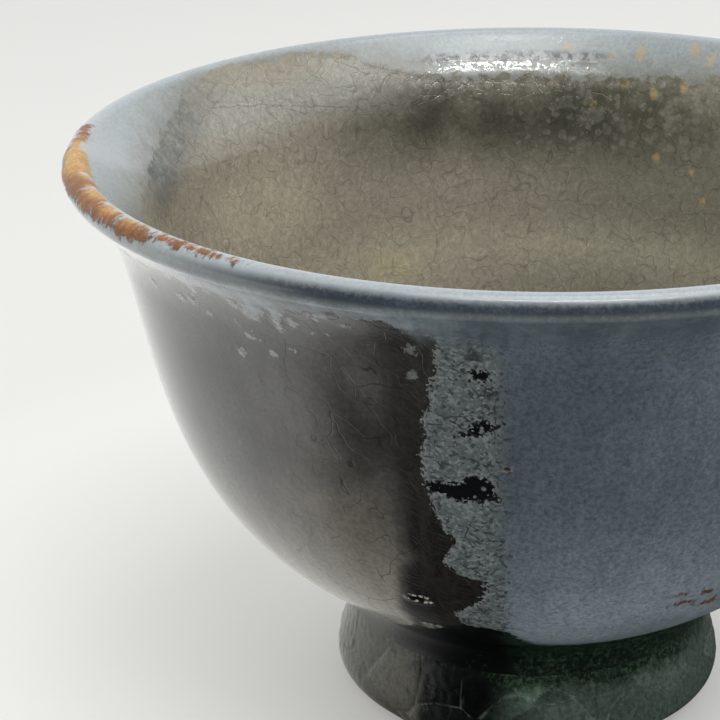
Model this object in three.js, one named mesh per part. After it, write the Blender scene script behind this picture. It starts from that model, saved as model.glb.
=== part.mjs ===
// A handmade gongfu teacup: a thrown stoneware bowl luted onto a foot ring, under several glaze coats.
// Millimetres and degrees, +Z up, origin at the centre of the foot on the table.
// A point of a section is (radius, height). Azimuth 0 is the front, and it grows to the right.
import * as THREE from 'three';
import { mergeGeometries, mergeVertices } from 'three/addons/utils/BufferGeometryUtils.js';

// Bowl, measured over its glaze
const rimRadius = 40;
const cupHeight = 51.1;
const wallThickness = 2.7; // at the neck
const floorThickness = 4.4; // in the middle, down to the recess in the foot

// Lip: a round edge that flares out from the neck
const lipRound = 1.1;
const lipTuck = 50; // angle below level where the outside leaves the lip round
const lipOpen = 40; // angle above level where the inside leaves the lip round
const flareReach = 4.3; // how far the lip stands out from the neck
const neckDrop = 7.9; // neck below the lip crest

// Bowl wall: how it leans, and how far each end pulls on the curve
const wallLean = 14.9; // from upright, at the neck
const neckPull = 10.2;
const bellyTilt = 23.3; // from level, where the wall reaches the foot
const bellyPull = 18.6;
const innerNeckPull = 17.2;
const innerFloorPull = 28.9;

// Foot ring
const footRadius = 17.8; // over its glaze, at the widest
const footHeight = 10.5; // table to where the bowl's curve reaches the foot
const footSwell = 2; // how much wider the ring is at its base than at the bowl
const footSkirt = 3.4; // length of the flare above the base
const ringWidth = 2.8; // of the clay ring where it meets the bowl
const ringSplay = 0.8; // how far the ring's inner wall opens towards the base
const restChamfer = 0.8; // outer and inner edge of the rest face
const seatTilt = 20; // slope of the conical seat under the bowl
const recessCrown = 0.9; // how far the middle of the recess hangs below the seat

// Coats
const glazeCoat = 0.5; // on the bowl, inside and out
const overlapBuild = 0.25; // added height where the two dips lie over each other
const footCoat = 0.7;
const slipLayer = 0.4; // joint between bowl and foot ring
const bareBand = 1; // unglazed clay above the table
const rollHeight = 1.1; // rounded lower edge of the foot's glaze
const lipGlazeInside = 4.2; // pale lip glaze, down the inside from the lip round
const lipGlazeOutside = 2.6; // pale lip glaze, down the outside from the lip round
const poolReach = 4.2; // glaze pool, along the bowl from the foot
const poolDrop = 3; // glaze pool, down the foot from the bowl

// Columns of facets round the cup. The dips meet at a column, so that every coat shares its edges.
const columns = 54;
const seamAzimuth = -14;
const overlapColumns = 2;
const darkColumns = 25;
const columnAngle = (2 * Math.PI) / columns;

// Facets along each curve
const wallSteps = 8;
const flareSteps = 2; // each side of the edge of the lip glaze
const lipSteps = 5;
const footSteps = 4;
const poolSteps = 4;
const rollSteps = 3;
const recessSteps = 3;

const radians = THREE.MathUtils.degToRad;
const point = (radius, height) => new THREE.Vector2(radius, height);
const heading = (degrees) => point(Math.cos(radians(degrees)), Math.sin(radians(degrees)));
const moved = (start, direction, distance) => start.clone().addScaledVector(direction, distance);

// One smooth bend that sets off in one given direction and arrives in the other
function bend(start, startHeading, end, endHeading) {
  const pull = start.distanceTo(end) / 3;
  const leave = moved(start, startHeading, pull);
  const arrive = moved(end, endHeading, -pull);
  return new THREE.CubicBezierCurve(start, leave, arrive, end);
}

// Matching points of a stretch of curve and of its parallel, which lies the given distance to the right
function sampled(curve, steps, from = 0, to = 1, distance = 0) {
  const near = [];
  const far = [];
  for (let step = 0; step <= steps; step += 1) {
    const share = from + ((to - from) * step) / steps;
    const here = curve.getPointAt(share);
    const along = curve.getTangentAt(share);
    near.push(here);
    far.push(moved(here, point(along.y, -along.x), distance));
  }
  return { near, far };
}

// Stretches that follow on from each other, as one
function joined(...runs) {
  const after = (side) => runs.flatMap((run, index) => run[side].slice(index ? 1 : 0));
  return { near: after('near'), far: after('far') };
}

const reversed = (points) => [...points].reverse();
const last = (points) => points[points.length - 1];

// Bowl curves, run from the middle of the floor over the lip and down to the foot, glaze face first
const neckHeading = heading(90 - wallLean);
const neck = point(rimRadius - flareReach, cupHeight - neckDrop);
const innerNeck = point(neck.x - wallThickness, neck.y);
const lipCentre = point(rimRadius - lipRound, cupHeight - lipRound);
const lipArc = new THREE.EllipseCurve(
  lipCentre.x, lipCentre.y, lipRound, lipRound, radians(180 - lipOpen), radians(-lipTuck), true,
);
const innerFlare = bend(innerNeck, neckHeading, lipArc.getPoint(0), heading(90 - lipOpen));
const outerFlare = bend(lipArc.getPoint(1), heading(-90 - lipTuck), neck, neckHeading.clone().negate());
const bellyHeading = heading(bellyTilt);
const wallFoot = point(footRadius - footSwell, footHeight);
const wall = new THREE.CubicBezierCurve(
  neck, moved(neck, neckHeading, -neckPull), moved(wallFoot, bellyHeading, bellyPull), wallFoot,
);
const lipOutsideShare = lipGlazeOutside / outerFlare.getLength();
const lipInsideShare = 1 - lipGlazeInside / innerFlare.getLength();
const poolShare = 1 - poolReach / wall.getLength();

// The outside from the edge of the lip glaze to the glaze pool
function outsideRun(distance) {
  return joined(
    sampled(outerFlare, flareSteps, lipOutsideShare, 1, distance),
    sampled(wall, wallSteps, 0, poolShare, distance),
  );
}
const outside = outsideRun(glazeCoat);
const underPool = sampled(wall, 1, poolShare, 1, glazeCoat);

// Conical seat for the foot ring, and the crowned recess inside the ring
const seatOuter = last(underPool.far);
const seatInner = point(seatOuter.x - ringWidth, seatOuter.y - ringWidth * Math.tan(radians(seatTilt)));
const recessTop = point(0, seatInner.y - recessCrown);
const recess = bend(seatInner, heading(180 + seatTilt), recessTop, heading(180));

const floorMiddle = point(0, recessTop.y + floorThickness);
const floorPull = point(innerFloorPull, floorMiddle.y);
const innerWall = new THREE.CubicBezierCurve(
  floorMiddle, floorPull, moved(innerNeck, neckHeading, -innerNeckPull), innerNeck,
);
const inside = joined(
  sampled(innerWall, wallSteps, 0, 1, glazeCoat),
  sampled(innerFlare, flareSteps, 0, lipInsideShare, glazeCoat),
);
const lip = joined(
  sampled(innerFlare, flareSteps, lipInsideShare, 1, glazeCoat),
  sampled(lipArc, lipSteps, 0, 1, glazeCoat),
  sampled(outerFlare, flareSteps, 0, lipOutsideShare, glazeCoat),
);

// Foot ring curves, clay face first: the outer wall from the bowl down to the end of the glaze
const ringTop = point(seatOuter.x, seatOuter.y - slipLayer);
const ringInnerTop = point(seatInner.x, seatInner.y - slipLayer);
const ringEdge = point(footRadius - footCoat, bareBand);
const ringSide = new THREE.CubicBezierCurve(
  ringTop, point(ringTop.x, ringEdge.y + footSkirt), point(ringEdge.x, ringEdge.y + footSkirt), ringEdge,
);
const dropShare = poolDrop / ringSide.getLength();
const rollShare = 1 - rollHeight / ringSide.getLength();
const ringOutside = sampled(ringSide, footSteps, dropShare, rollShare, -footCoat);
const ringInnerBase = ringInnerTop.x + ringSplay;

// Section outlines, each a closed loop that keeps its solid on the left
const bowlSection = [
  ...reversed(sampled(recess, recessSteps).near),
  ...reversed([...inside.far, ...lip.far.slice(1), ...outside.far.slice(1), seatOuter]),
];
const slipSection = [seatOuter, seatInner, ringInnerTop, ringTop];
const ringSection = [
  ringTop,
  ringInnerTop,
  point(ringInnerBase, restChamfer),
  point(ringInnerBase + restChamfer, 0),
  point(ringEdge.x - restChamfer, 0),
  point(ringEdge.x, restChamfer),
  ringEdge,
  ...reversed(ringOutside.near),
];
const insideSection = [...inside.far, ...reversed(inside.near)];
const lipSection = [...lip.far, ...reversed(lip.near)];
const wallSection = [...outside.far, ...reversed(outside.near)];
const overlapSection = [...outside.far, ...reversed(outsideRun(-overlapBuild).far)];

// The pool's face runs from the bowl's glaze to the foot's glaze, hollow like a fillet
const poolStart = last(outside.near);
const poolEnd = ringOutside.far[0];
const poolCorner = last(underPool.near);
const poolFace = new THREE.QuadraticBezierCurve(poolStart, poolCorner, poolEnd);
const poolSection = [
  last(outside.far),
  seatOuter,
  ringTop,
  ringOutside.near[0],
  ...reversed(poolFace.getPoints(poolSteps)),
];

// The foot's glaze ends above the table in a rounded roll
const roll = new THREE.QuadraticBezierCurve(last(ringOutside.far), point(footRadius, bareBand), ringEdge);
const footGlazeSection = [
  ...ringOutside.near,
  ...reversed(roll.getPoints(rollSteps)),
  ...reversed(ringOutside.far).slice(1),
];

// A section turned about the axis through whole columns, with flat ends where it stops short of a full turn
function turned(section, firstColumn = 0, count = columns) {
  const closed = [...section, section[0]];
  const start = radians(seamAzimuth) + firstColumn * columnAngle;
  const sweep = count * columnAngle;
  const surfaces = [new THREE.LatheGeometry(closed, count, start, sweep)];
  if (count < columns) {
    surfaces.push(endFace(section, start, false), endFace(section, start + sweep, true));
  }
  const bare = surfaces.map((surface) => {
    surface.deleteAttribute('normal');
    surface.deleteAttribute('uv');
    return surface;
  });
  const joined = mergeVertices(mergeGeometries(bare), 1e-5);
  joined.rotateX(Math.PI / 2);
  return joined;
}

// The flat end of a partly turned section
function endFace(section, azimuth, flip) {
  const face = new THREE.ShapeGeometry(new THREE.Shape(section));
  face.rotateY(azimuth - Math.PI / 2);
  if (flip) {
    face.index.array.reverse();
  }
  return face;
}

function piece(name, geometry, colour, roughness) {
  const material = new THREE.MeshStandardMaterial({ color: colour, roughness, metalness: 0 });
  geometry.computeVertexNormals();
  const mesh = new THREE.Mesh(geometry, material);
  mesh.name = name;
  return mesh;
}

const overlapStart = 0;
const blueStart = overlapStart + overlapColumns;
const darkStart = columns - darkColumns;
const rearStart = darkStart - overlapColumns;

const teacup = new THREE.Group();
teacup.add(
  piece('bowl_body', turned(bowlSection), 0x8a7260, 0.85),
  piece('foot_ring', turned(ringSection), 0x806754, 0.85),
  piece('luting_slip', turned(slipSection), 0x94806c, 0.9),
  piece('inner_glaze', turned(insideSection), 0x77705c, 0.2),
  piece('lip_glaze', turned(lipSection), 0xa9b2bc, 0.25),
  piece('dark_glaze', turned(wallSection, darkStart, darkColumns), 0x4b443d, 0.15),
  piece('blue_glaze', turned(wallSection, blueStart, rearStart - blueStart), 0x55626f, 0.45),
  piece('overlap_glaze_front', turned(overlapSection, overlapStart, overlapColumns), 0x5f6e70, 0.5),
  piece('overlap_glaze_rear', turned(overlapSection, rearStart, overlapColumns), 0x5f6e70, 0.5),
  piece('corner_glaze_pool', turned(poolSection), 0x1c2a22, 0.08),
  piece('foot_glaze', turned(footGlazeSection), 0x3a4a3c, 0.1),
);

export default teacup;
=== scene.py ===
import math

import bmesh
import bpy
import numpy as np
from mathutils import Matrix, Vector, noise
from mathutils.geometry import interpolate_bezier


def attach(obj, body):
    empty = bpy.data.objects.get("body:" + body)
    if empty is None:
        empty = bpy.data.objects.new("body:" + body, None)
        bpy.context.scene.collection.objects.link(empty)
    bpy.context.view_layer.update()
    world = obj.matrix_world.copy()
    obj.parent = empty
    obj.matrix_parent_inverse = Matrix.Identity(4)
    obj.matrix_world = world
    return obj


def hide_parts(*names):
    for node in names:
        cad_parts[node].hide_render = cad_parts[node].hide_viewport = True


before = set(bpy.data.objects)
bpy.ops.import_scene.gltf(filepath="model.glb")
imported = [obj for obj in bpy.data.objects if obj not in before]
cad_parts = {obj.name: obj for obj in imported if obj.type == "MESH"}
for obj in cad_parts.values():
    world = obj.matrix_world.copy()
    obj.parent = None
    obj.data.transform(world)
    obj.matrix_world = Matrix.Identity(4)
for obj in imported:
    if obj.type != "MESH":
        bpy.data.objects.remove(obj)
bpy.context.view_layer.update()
mm = 0.001
print("frame loaded")

# camera: solved from the lip and foot circles and the bowl's outline
cameraView = {
    "distance": 162.09,   # mm in front of the cup's axis
    "height": 97.52,      # mm above the table
    "turn": 5.40,         # degrees to the left of the axis
    "dip": -22.58,        # degrees below level
    "lean": -0.957,       # degrees of roll
    "focalPixels": 1961.4,
    "framePixels": 720,
    "sensorWidth": 36,    # mm
    "clipStart": 0.01,    # m
}


def placeCamera():
    view = cameraView
    turn, dip, lean = (math.radians(view[key]) for key in ("turn", "dip", "lean"))
    level = Vector((math.cos(turn), math.sin(turn), 0))
    ahead = Vector((-math.sin(turn), math.cos(turn), 0))
    up = Vector((0, 0, 1))
    look = ahead * math.cos(dip) + up * math.sin(dip)
    rise = up * math.cos(dip) - ahead * math.sin(dip)
    side = level * math.cos(lean) + rise * math.sin(lean)
    top = rise * math.cos(lean) - level * math.sin(lean)
    data = bpy.data.cameras.new("photoCamera")
    data.sensor_width = view["sensorWidth"]
    data.lens = view["focalPixels"] / view["framePixels"] * data.sensor_width
    data.clip_start = view["clipStart"]
    camera = bpy.data.objects.new("photoCamera", data)
    spot = Vector((0, -view["distance"] * mm, view["height"] * mm))
    camera.matrix_world = Matrix.Translation(spot) @ Matrix((side, top, -look)).transposed().to_4x4()
    bpy.context.scene.collection.objects.link(camera)
    bpy.context.scene.camera = camera


placeCamera()
print("camera placed")

# section of the cup, in mm and degrees: a point is (radius, height)
cupShape = {
    "rimRadius": 40.0, "cupHeight": 51.1, "wallThickness": 2.7, "floorThickness": 4.4,
    "lipRound": 1.1, "lipTuck": 50, "lipOpen": 40, "flareReach": 4.3, "neckDrop": 7.9,
    "wallLean": 14.9, "neckPull": 10.2, "bellyTilt": 23.3, "bellyPull": 18.6,
    "innerNeckPull": 17.2, "innerFloorPull": 28.9,
    "footRadius": 17.8, "footHeight": 10.5, "footSwell": 2.0, "footSkirt": 3.4,
    "ringWidth": 2.8, "ringSplay": 0.8, "restChamfer": 0.8, "seatTilt": 20, "recessCrown": 0.9,
    "glazeCoat": 0.5, "footCoat": 0.7, "slipLayer": 0.4,
    "bareBand": 1.0, "rollHeight": 1.1, "poolReach": 4.2, "poolDrop": 3.0, "poolSpan": 5, "cornerPull": 0.67,
    "lipGlazeInside": 4.2, "lipGlazeOutside": 2.6,
    "wallSteps": 110, "flareSteps": 30, "lipSteps": 30, "footSteps": 44, "poolSteps": 16, "rollSteps": 8,
}


def heading(degrees):
    return Vector((math.cos(math.radians(degrees)), math.sin(math.radians(degrees))))


def bend(start, startHeading, end, endHeading, count):
    pull = (end - start).length / 3
    return interpolate_bezier(start, start + startHeading * pull, end - endHeading * pull, end, count)


def runLengths(points):
    run = [0.0]
    for a, b in zip(points, points[1:]):
        run.append(run[-1] + (b - a).length)
    return run


def cutRun(points, distance):
    # splits a run of points at a length from its start
    run = runLengths(points)
    index = next(i for i, length in enumerate(run) if length >= distance)
    share = (distance - run[index - 1]) / (run[index] - run[index - 1])
    middle = points[index - 1].lerp(points[index], share)
    return points[:index] + [middle], [middle] + points[index:]


def parallelRun(points, distance):
    # the run that lies the given distance to the right of the walk
    moved = []
    for index, here in enumerate(points):
        before = points[max(index - 1, 0)]
        after = points[min(index + 1, len(points) - 1)]
        along = (after - before).normalized()
        moved.append(here + Vector((along.y, -along.x)) * distance)
    return moved


def joinRuns(*runs):
    return [point for order, run in enumerate(runs) for point in run[1 if order else 0:]]


def sectionRuns():
    s = cupShape
    up = heading(90 - s["wallLean"])
    neck = Vector((s["rimRadius"] - s["flareReach"], s["cupHeight"] - s["neckDrop"]))
    innerNeck = neck - Vector((s["wallThickness"], 0))
    lipCentre = Vector((s["rimRadius"] - s["lipRound"], s["cupHeight"] - s["lipRound"]))
    turn = 180 - s["lipOpen"] + s["lipTuck"]
    lip = [lipCentre + heading(180 - s["lipOpen"] - turn * i / s["lipSteps"]) * s["lipRound"]
           for i in range(s["lipSteps"] + 1)]
    innerFlare = bend(innerNeck, up, lip[0], heading(90 - s["lipOpen"]), s["flareSteps"])
    outerFlare = bend(lip[-1], heading(-90 - s["lipTuck"]), neck, -up, s["flareSteps"])
    wallFoot = Vector((s["footRadius"] - s["footSwell"], s["footHeight"]))
    wall = interpolate_bezier(
        neck, neck - up * s["neckPull"],
        wallFoot + heading(s["bellyTilt"]) * s["bellyPull"], wallFoot, s["wallSteps"])
    outside, underPool = cutRun(wall, runLengths(wall)[-1] - s["poolReach"])
    seatOuter = parallelRun(wall, s["glazeCoat"])[-1]
    seatDrop = s["ringWidth"] * math.tan(math.radians(s["seatTilt"]))
    seatInner = seatOuter - Vector((s["ringWidth"], seatDrop))
    recessTop = Vector((0, seatInner.y - s["recessCrown"]))
    recess = bend(seatInner, heading(180 + s["seatTilt"]), recessTop, heading(180), s["poolSteps"])
    floorMiddle = recessTop + Vector((0, s["floorThickness"]))
    innerWall = interpolate_bezier(
        floorMiddle, floorMiddle + Vector((s["innerFloorPull"], 0)),
        innerNeck - up * s["innerNeckPull"], innerNeck, s["wallSteps"])
    flareLength = runLengths(innerFlare)[-1]
    linerTop, lipInside = cutRun(innerFlare, flareLength - s["lipGlazeInside"])
    lipOutside, dipTop = cutRun(outerFlare, s["lipGlazeOutside"])
    ringTop = seatOuter - Vector((0, s["slipLayer"]))
    ringEdge = Vector((s["footRadius"] - s["footCoat"], s["bareBand"]))
    skirt = ringEdge.y + s["footSkirt"]
    ringSide = interpolate_bezier(
        ringTop, Vector((ringTop.x, skirt)), Vector((ringEdge.x, skirt)), ringEdge, s["footSteps"])
    return {
        "liner": joinRuns(innerWall, linerTop), "lip": joinRuns(lipInside, lip, lipOutside),
        "dip": joinRuns(dipTop, outside), "underPool": underPool, "recess": recess,
        "seatOuter": seatOuter, "seatInner": seatInner, "ringTop": ringTop, "ringSide": ringSide,
    }


runs = sectionRuns()
print("section curves ready")


def thinRun(points, keep=5):
    # fewer points for a hidden side
    return points[:-1:keep] + points[-1:]


def roundCorner(start, corner, end, count):
    # a run from start to end that is pulled towards a corner
    pull = cupShape["cornerPull"]
    return interpolate_bezier(start, start.lerp(corner, pull), end.lerp(corner, pull), end, count)


def cupOutlines():
    # each piece's visible run, its hidden run and the length from the crest where the visible one starts
    s = cupShape
    coat = s["glazeCoat"]
    backs = {name: thinRun(parallelRun(runs[name], coat)) for name in ("liner", "lip", "dip")}
    clayFace = joinRuns(backs["liner"], backs["lip"], backs["dip"])
    seatOuter, seatInner, ringTop = runs["seatOuter"], runs["seatInner"], runs["ringTop"]
    ringInnerTop = seatInner - Vector((0, s["slipLayer"]))
    innerBase = ringInnerTop.x + s["ringSplay"]
    side = runs["ringSide"]
    ringEdge = side[-1]
    underPool, foot = cutRun(side, s["poolDrop"])
    footBand, footRoll = cutRun(foot, runLengths(foot)[-1] - s["rollHeight"])
    footFace = parallelRun(foot, -s["footCoat"])[:len(footBand)]
    rollCorner = Vector((s["footRadius"], s["bareBand"]))
    roll = roundCorner(footFace[-1], rollCorner, ringEdge, s["rollSteps"])
    poolFace = roundCorner(runs["dip"][-1], runs["underPool"][-1], footFace[0], s["poolSteps"])
    chamfer = s["restChamfer"]
    base = [Vector((innerBase, chamfer)), Vector((innerBase + chamfer, 0)),
            Vector((ringEdge.x - chamfer, 0)), Vector((ringEdge.x, chamfer))]
    linerLength = runLengths(runs["liner"])[-1]
    crest = runLengths(runs["lip"])[max(range(len(runs["lip"])), key=lambda i: runs["lip"][i].y)]
    lipStart = -crest
    dipStart = runLengths(runs["lip"])[-1] - crest
    poolRun = dipStart + runLengths(runs["dip"])[-1]
    return {
        "clayBowl": (runs["recess"][::-1] + [seatOuter], clayFace[::-1], 0),
        "lutingSlip": ([seatOuter, seatInner, ringInnerTop, ringTop], [], 0),
        "clayFoot": ([ringTop, ringInnerTop] + base + thinRun(side[:0:-1]), [], 0),
        "linerGlaze": (runs["liner"], backs["liner"][::-1], lipStart - linerLength),
        "lipGlaze": (runs["lip"], backs["lip"][::-1], lipStart),
        "dipGlaze": (runs["dip"], backs["dip"][::-1], dipStart),
        "glazePool": (poolFace, thinRun(underPool[::-1]) + [seatOuter, clayFace[-1]], poolRun),
        "footGlaze": (
            joinRuns(footFace, roll), thinRun(footRoll[-2:0:-1]) + thinRun(footBand[::-1]),
            poolRun + s["poolSpan"]),
    }


outlines = cupOutlines()
# where the pieces start and end round the cup, in degrees, and how finely they are turned
turning = {
    "seam": -14.0, "strip": 13.333, "darkSweep": 166.667, "sectors": 12,
    "coarse": 180, "plain": 420, "fine": 696, "darkColumns": 700, "stripColumns": 1620,
}


def turnOutline(name, outline, firstAzimuth, sweep, columns):
    # a section outline spun about the cup's axis: one sector, then its copies, then the ends of a part turn
    skin, back, start = outlines[outline]
    shape = bmesh.new()
    along = shape.verts.layers.float.new("along")
    onSkin = shape.verts.layers.float.new("skin")
    first = math.radians(firstAzimuth)
    corners = []
    for index, point in enumerate(skin + back):
        place = Vector((point.x * math.sin(first), -point.x * math.cos(first), point.y))
        corner = shape.verts.new(place * mm)
        corner[onSkin] = index < len(skin)
        corners.append(corner)
    for corner, length in zip(corners, runLengths(skin)):
        corner[along] = start + length
    pairs = list(zip(corners, corners[1:] + corners[:1]))
    if (skin + back)[0].x + (skin + back)[-1].x < 1e-6:
        pairs.pop()  # no edge along the axis
    section = corners + [shape.edges.new(pair) for pair in pairs]
    sectors = turning["sectors"]
    share = sweep / sectors
    about = {"cent": (0, 0, 0), "axis": (0, 0, 1)}
    steps = round(columns * share / 360)
    bmesh.ops.spin(shape, geom=section, angle=math.radians(share), steps=steps, **about)
    sector = shape.verts[:] + shape.edges[:] + shape.faces[:]
    bmesh.ops.spin(
        shape, geom=sector, angle=math.radians(sweep - share), steps=sectors - 1, use_duplicate=True, **about)
    bmesh.ops.remove_doubles(shape, verts=shape.verts, dist=1e-6)
    openEdges = [edge for edge in shape.edges if edge.is_boundary]
    bmesh.ops.holes_fill(shape, edges=openEdges, sides=0)
    bmesh.ops.recalc_face_normals(shape, faces=shape.faces)
    for face in shape.faces:
        face.smooth = True
    mesh = bpy.data.meshes.new(name)
    shape.to_mesh(mesh)
    shape.free()
    piece = bpy.data.objects.new(name, mesh)
    bpy.context.scene.collection.objects.link(piece)
    return piece


frontEnd = turning["seam"] + turning["strip"]
darkStart = turning["seam"] - turning["darkSweep"]
rearStart = darkStart - turning["strip"]
whole = (0.0, 360.0)
# each piece's outline, first azimuth, sweep and columns in a full turn
turns = {
    "clayBowl": ("clayBowl", *whole, turning["coarse"]),
    "clayFoot": ("clayFoot", *whole, turning["coarse"]),
    "lutingSlip": ("lutingSlip", *whole, turning["coarse"]),
    "linerGlaze": ("linerGlaze", *whole, turning["plain"]),
    "lipGlaze": ("lipGlaze", *whole, turning["fine"]),
    "darkDip": ("dipGlaze", darkStart, turning["darkSweep"], turning["darkColumns"]),
    "blueDip": ("dipGlaze", frontEnd, rearStart + 360 - frontEnd, turning["plain"]),
    "frontOverlap": ("dipGlaze", turning["seam"], turning["strip"], turning["stripColumns"]),
    "rearOverlap": ("dipGlaze", rearStart, turning["strip"], turning["stripColumns"]),
    "glazePool": ("glazePool", *whole, turning["plain"]),
    "footGlaze": ("footGlaze", *whole, turning["fine"]),
}
pieces = {name: turnOutline(name, *turn) for name, turn in turns.items()}
for name, piece in pieces.items():
    print("turned", name, len(piece.data.polygons), "faces")

# where the glazes end, break and run: azimuths in degrees, 0 at the front, and heights in mm
glazeMap = {
    "blueMiddle": 82.75, "blueHalf": 84.55,   # the blue dip, in degrees
    "rearFlip": 63, "rearRunDrop": 1.4,   # rear seam: sum of its and the front's heights, and its lower run
    "wander": [(0.55, 0.55), (0.4, 1.5), (0.2, 3.1)],   # how uneven the edges are: reach in mm, and scale
    "crustEdge": [  # height and azimuth of the crust's broken side
        (16, -9.5), (18, -10.4), (20, -11.4), (20.6, -10), (21.4, -7.6), (23.4, -6), (24.6, -6.4),
        (24.9, -10), (26.5, -11.6), (27.6, -10.3), (28.6, -9.1), (29.4, -11), (31, -12), (34.8, -13.2),
        (37, -13), (41, -11.9), (43, -11.2), (45, -10.6), (48, -10.2)],
    "veilOutside": [  # azimuth and height of the pale veil's lower edge
        (-180, 47.2), (-120, 46.6), (-80, 46.6), (-50, 47.2), (-38, 47.3), (-30, 47.2), (-24, 47.8),
        (-17, 48.3), (-13, 47.4), (-9, 46.4), (-3, 46.6), (10, 47.0), (90, 46.6), (180, 47.2)],
    "veilInside": [  # azimuth and length from the crest of the veil's inner edge
        (-180, -6.1), (-165, -6.0), (-158, -5.2), (-153, -3.8), (-147, -2.2), (-140, -1.5), (-125, -1.3),
        (-118, -2.2), (-110, -4.4), (-100, -6.3), (-90, -8), (-75, -8.8), (-55, -8.4), (-40, -6),
        (0, -4.5), (60, -4.2), (120, -4.6), (150, -5.2), (165, -5.9), (180, -6.1)],
    "poolTop": [  # azimuth and height of the black run above the foot, at the front seam
        (-60, 11.5), (-40, 12.2), (-30, 13.0), (-25, 15.0), (-20, 16.4), (-11, 17.8), (-6, 17.9), (-4, 17.5),
        (-2, 16.5), (0, 15.5), (4, 14.2), (10, 13.5), (30, 13.3), (80, 12.6)],
    "breaks": [  # black breaks in the crust: azimuth, height, half width and half height in mm
        (-5.9, 43.8, 0.6, 0.32), (-5.0, 39.4, 0.95, 0.45), (-6.3, 39.0, 0.55, 0.55), (-7.6, 38.4, 0.6, 0.22),
        (-6.2, 33.8, 1.2, 1.15), (-8.0, 33.4, 1.3, 0.95), (-10.6, 33.5, 1.6, 0.62), (-4.6, 33.2, 0.5, 0.5)],
    "flecks": [  # pale flecks under the veil
        (-35.2, 46.8, 0.55, 0.4), (-33.2, 46.3, 0.8, 0.75), (-31.8, 46.9, 0.7, 0.7), (-29.4, 46.3, 0.5, 0.9),
        (-27.4, 46.5, 0.4, 0.55), (-28.6, 47.1, 0.7, 0.5), (-53, 45.2, 0.3, 0.5), (-46.4, 45.2, 0.5, 0.28),
        (-43.9, 45.5, 0.36, 0.5), (-41.5, 44.7, 0.25, 0.36), (-36.6, 45.0, 0.36, 0.2),
        (-34.9, 44.0, 0.5, 0.28), (-33.6, 43.7, 0.4, 0.3), (-31.6, 42.6, 0.32, 0.2),
        (-28.6, 43.7, 0.26, 0.14), (-37.3, 42.2, 0.36, 0.36), (-13.3, 45.6, 0.55, 0.5),
        (-13.4, 43.3, 0.46, 0.42), (-20.2, 47.2, 0.4, 0.25), (-24, 47.5, 0.6, 0.3)],
    "inclusions": [(-5.6, 33.8, 0.2, 0.15), (-6.7, 33.0, 0.14, 0.14)],   # pale grains in the largest break
    "drip": [(-17.6, 16.8, 1.0, 0.36), (-18.6, 16.2, 0.6, 0.2)],   # a pale drip above the foot, its paleness partly its own and partly painted highlight
    "blister": (-17.0, 21.1, 0.8, 0.36),
    "pit": (-2.6, 35.7, 0.26, 0.18),
    "rustLip": [  # rust on the lip: azimuth, length from the crest, half width and half height
        (-88, -0.1, 1.6, 0.42), (-84.5, 0.0, 1.8, 0.5), (-79, 0.0, 3.2, 1.2), (-73, 0.1, 3.4, 1.7),
        (-67, 0.3, 3.0, 1.5), (-61, 0.5, 2.8, 1.2), (-55, 0.6, 2.6, 1.05), (-50, 0.7, 2.4, 0.95),
        (-46.6, 0.7, 1.2, 0.6), (-43, 0.35, 1.5, 0.34), (-38, 0.3, 2.0, 0.36), (-35, 0.4, 1.2, 0.26)],
    "ochre": [  # paler parts of the rust
        (-77, -0.4, 4.6, 1.8), (-70, -0.9, 1.6, 0.9), (-62, -0.4, 1.8, 0.9), (-55, 0.0, 1.4, 0.7),
        (-50, -0.1, 1.0, 0.6)],
    "rustGaps": [  # where the pale lip shows through
        (-70, -1.0, 0.6, 1.1), (-64, -0.8, 0.6, 0.8), (-57, -0.5, 0.4, 0.6), (-82, -0.9, 0.8, 0.5),
        (-52, 0.0, 0.3, 0.7)],
    "rustLow": [  # rust flecks low on the blue side
        (24.5, 21.6, 0.7, 0.25), (27, 20.2, 1.0, 0.3), (29.5, 21.0, 0.9, 0.3), (31.5, 19.4, 1.2, 0.4),
        (34, 20.4, 1.1, 0.35)],
    "gold": [  # gold spots inside, under the lip
        (152, 49.5, 0.5, 0.7), (155, 50, 0.6, 0.7), (163.5, 49.4, 0.6, 0.7), (168, 49, 0.4, 0.4),
        (175, 49.6, 0.7, 0.35), (155, 46.8, 0.4, 0.45), (160, 46, 0.3, 0.4), (165, 46.6, 0.3, 0.4),
        (177, 46.3, 0.3, 0.3), (170, 44.8, 0.3, 0.4), (158, 40, 0.4, 0.5), (151, 39.2, 0.5, 0.4),
        (148, 36.5, 0.4, 0.5), (140, 48.6, 0.7, 0.6), (133, 46, 0.5, 0.5)],
    "longCrack": (213, 45.3, 240, 48.2),   # one long hair crack inside, from and to
    "zones": {  # soft patches inside: azimuth, its half width and softness, and the same for the height
        "haze": (225, 20, 10, 47.0, 1.8, 2.0), "charcoal": (254, 16, 8, 45.5, 5, 2),
        "frosty": (158, 26, 14, 43.5, 4, 5), "shadow": (182, 32, 18, 43.8, 4.0, 3.5),
        "honey": (180, 55, 25, 30.8, 2.0, 2.4),
        # the sandy patch low on the left inner wall is partly the liner's tan and partly painted light
        "yellow": (209, 5, 5, 29.5, 1.4, 1.2), "sandyAndLit": (238, 14, 10, 38.0, 3.5, 3.0),
        "darkRow": (184, 15, 4, 48.75, 0.4, 0.3), "sheen": (184, 15, 3, 48.0, 0.4, 0.25)},
}


def wrapTurn(degrees):
    return (degrees + 180) % 360 - 180


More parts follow.
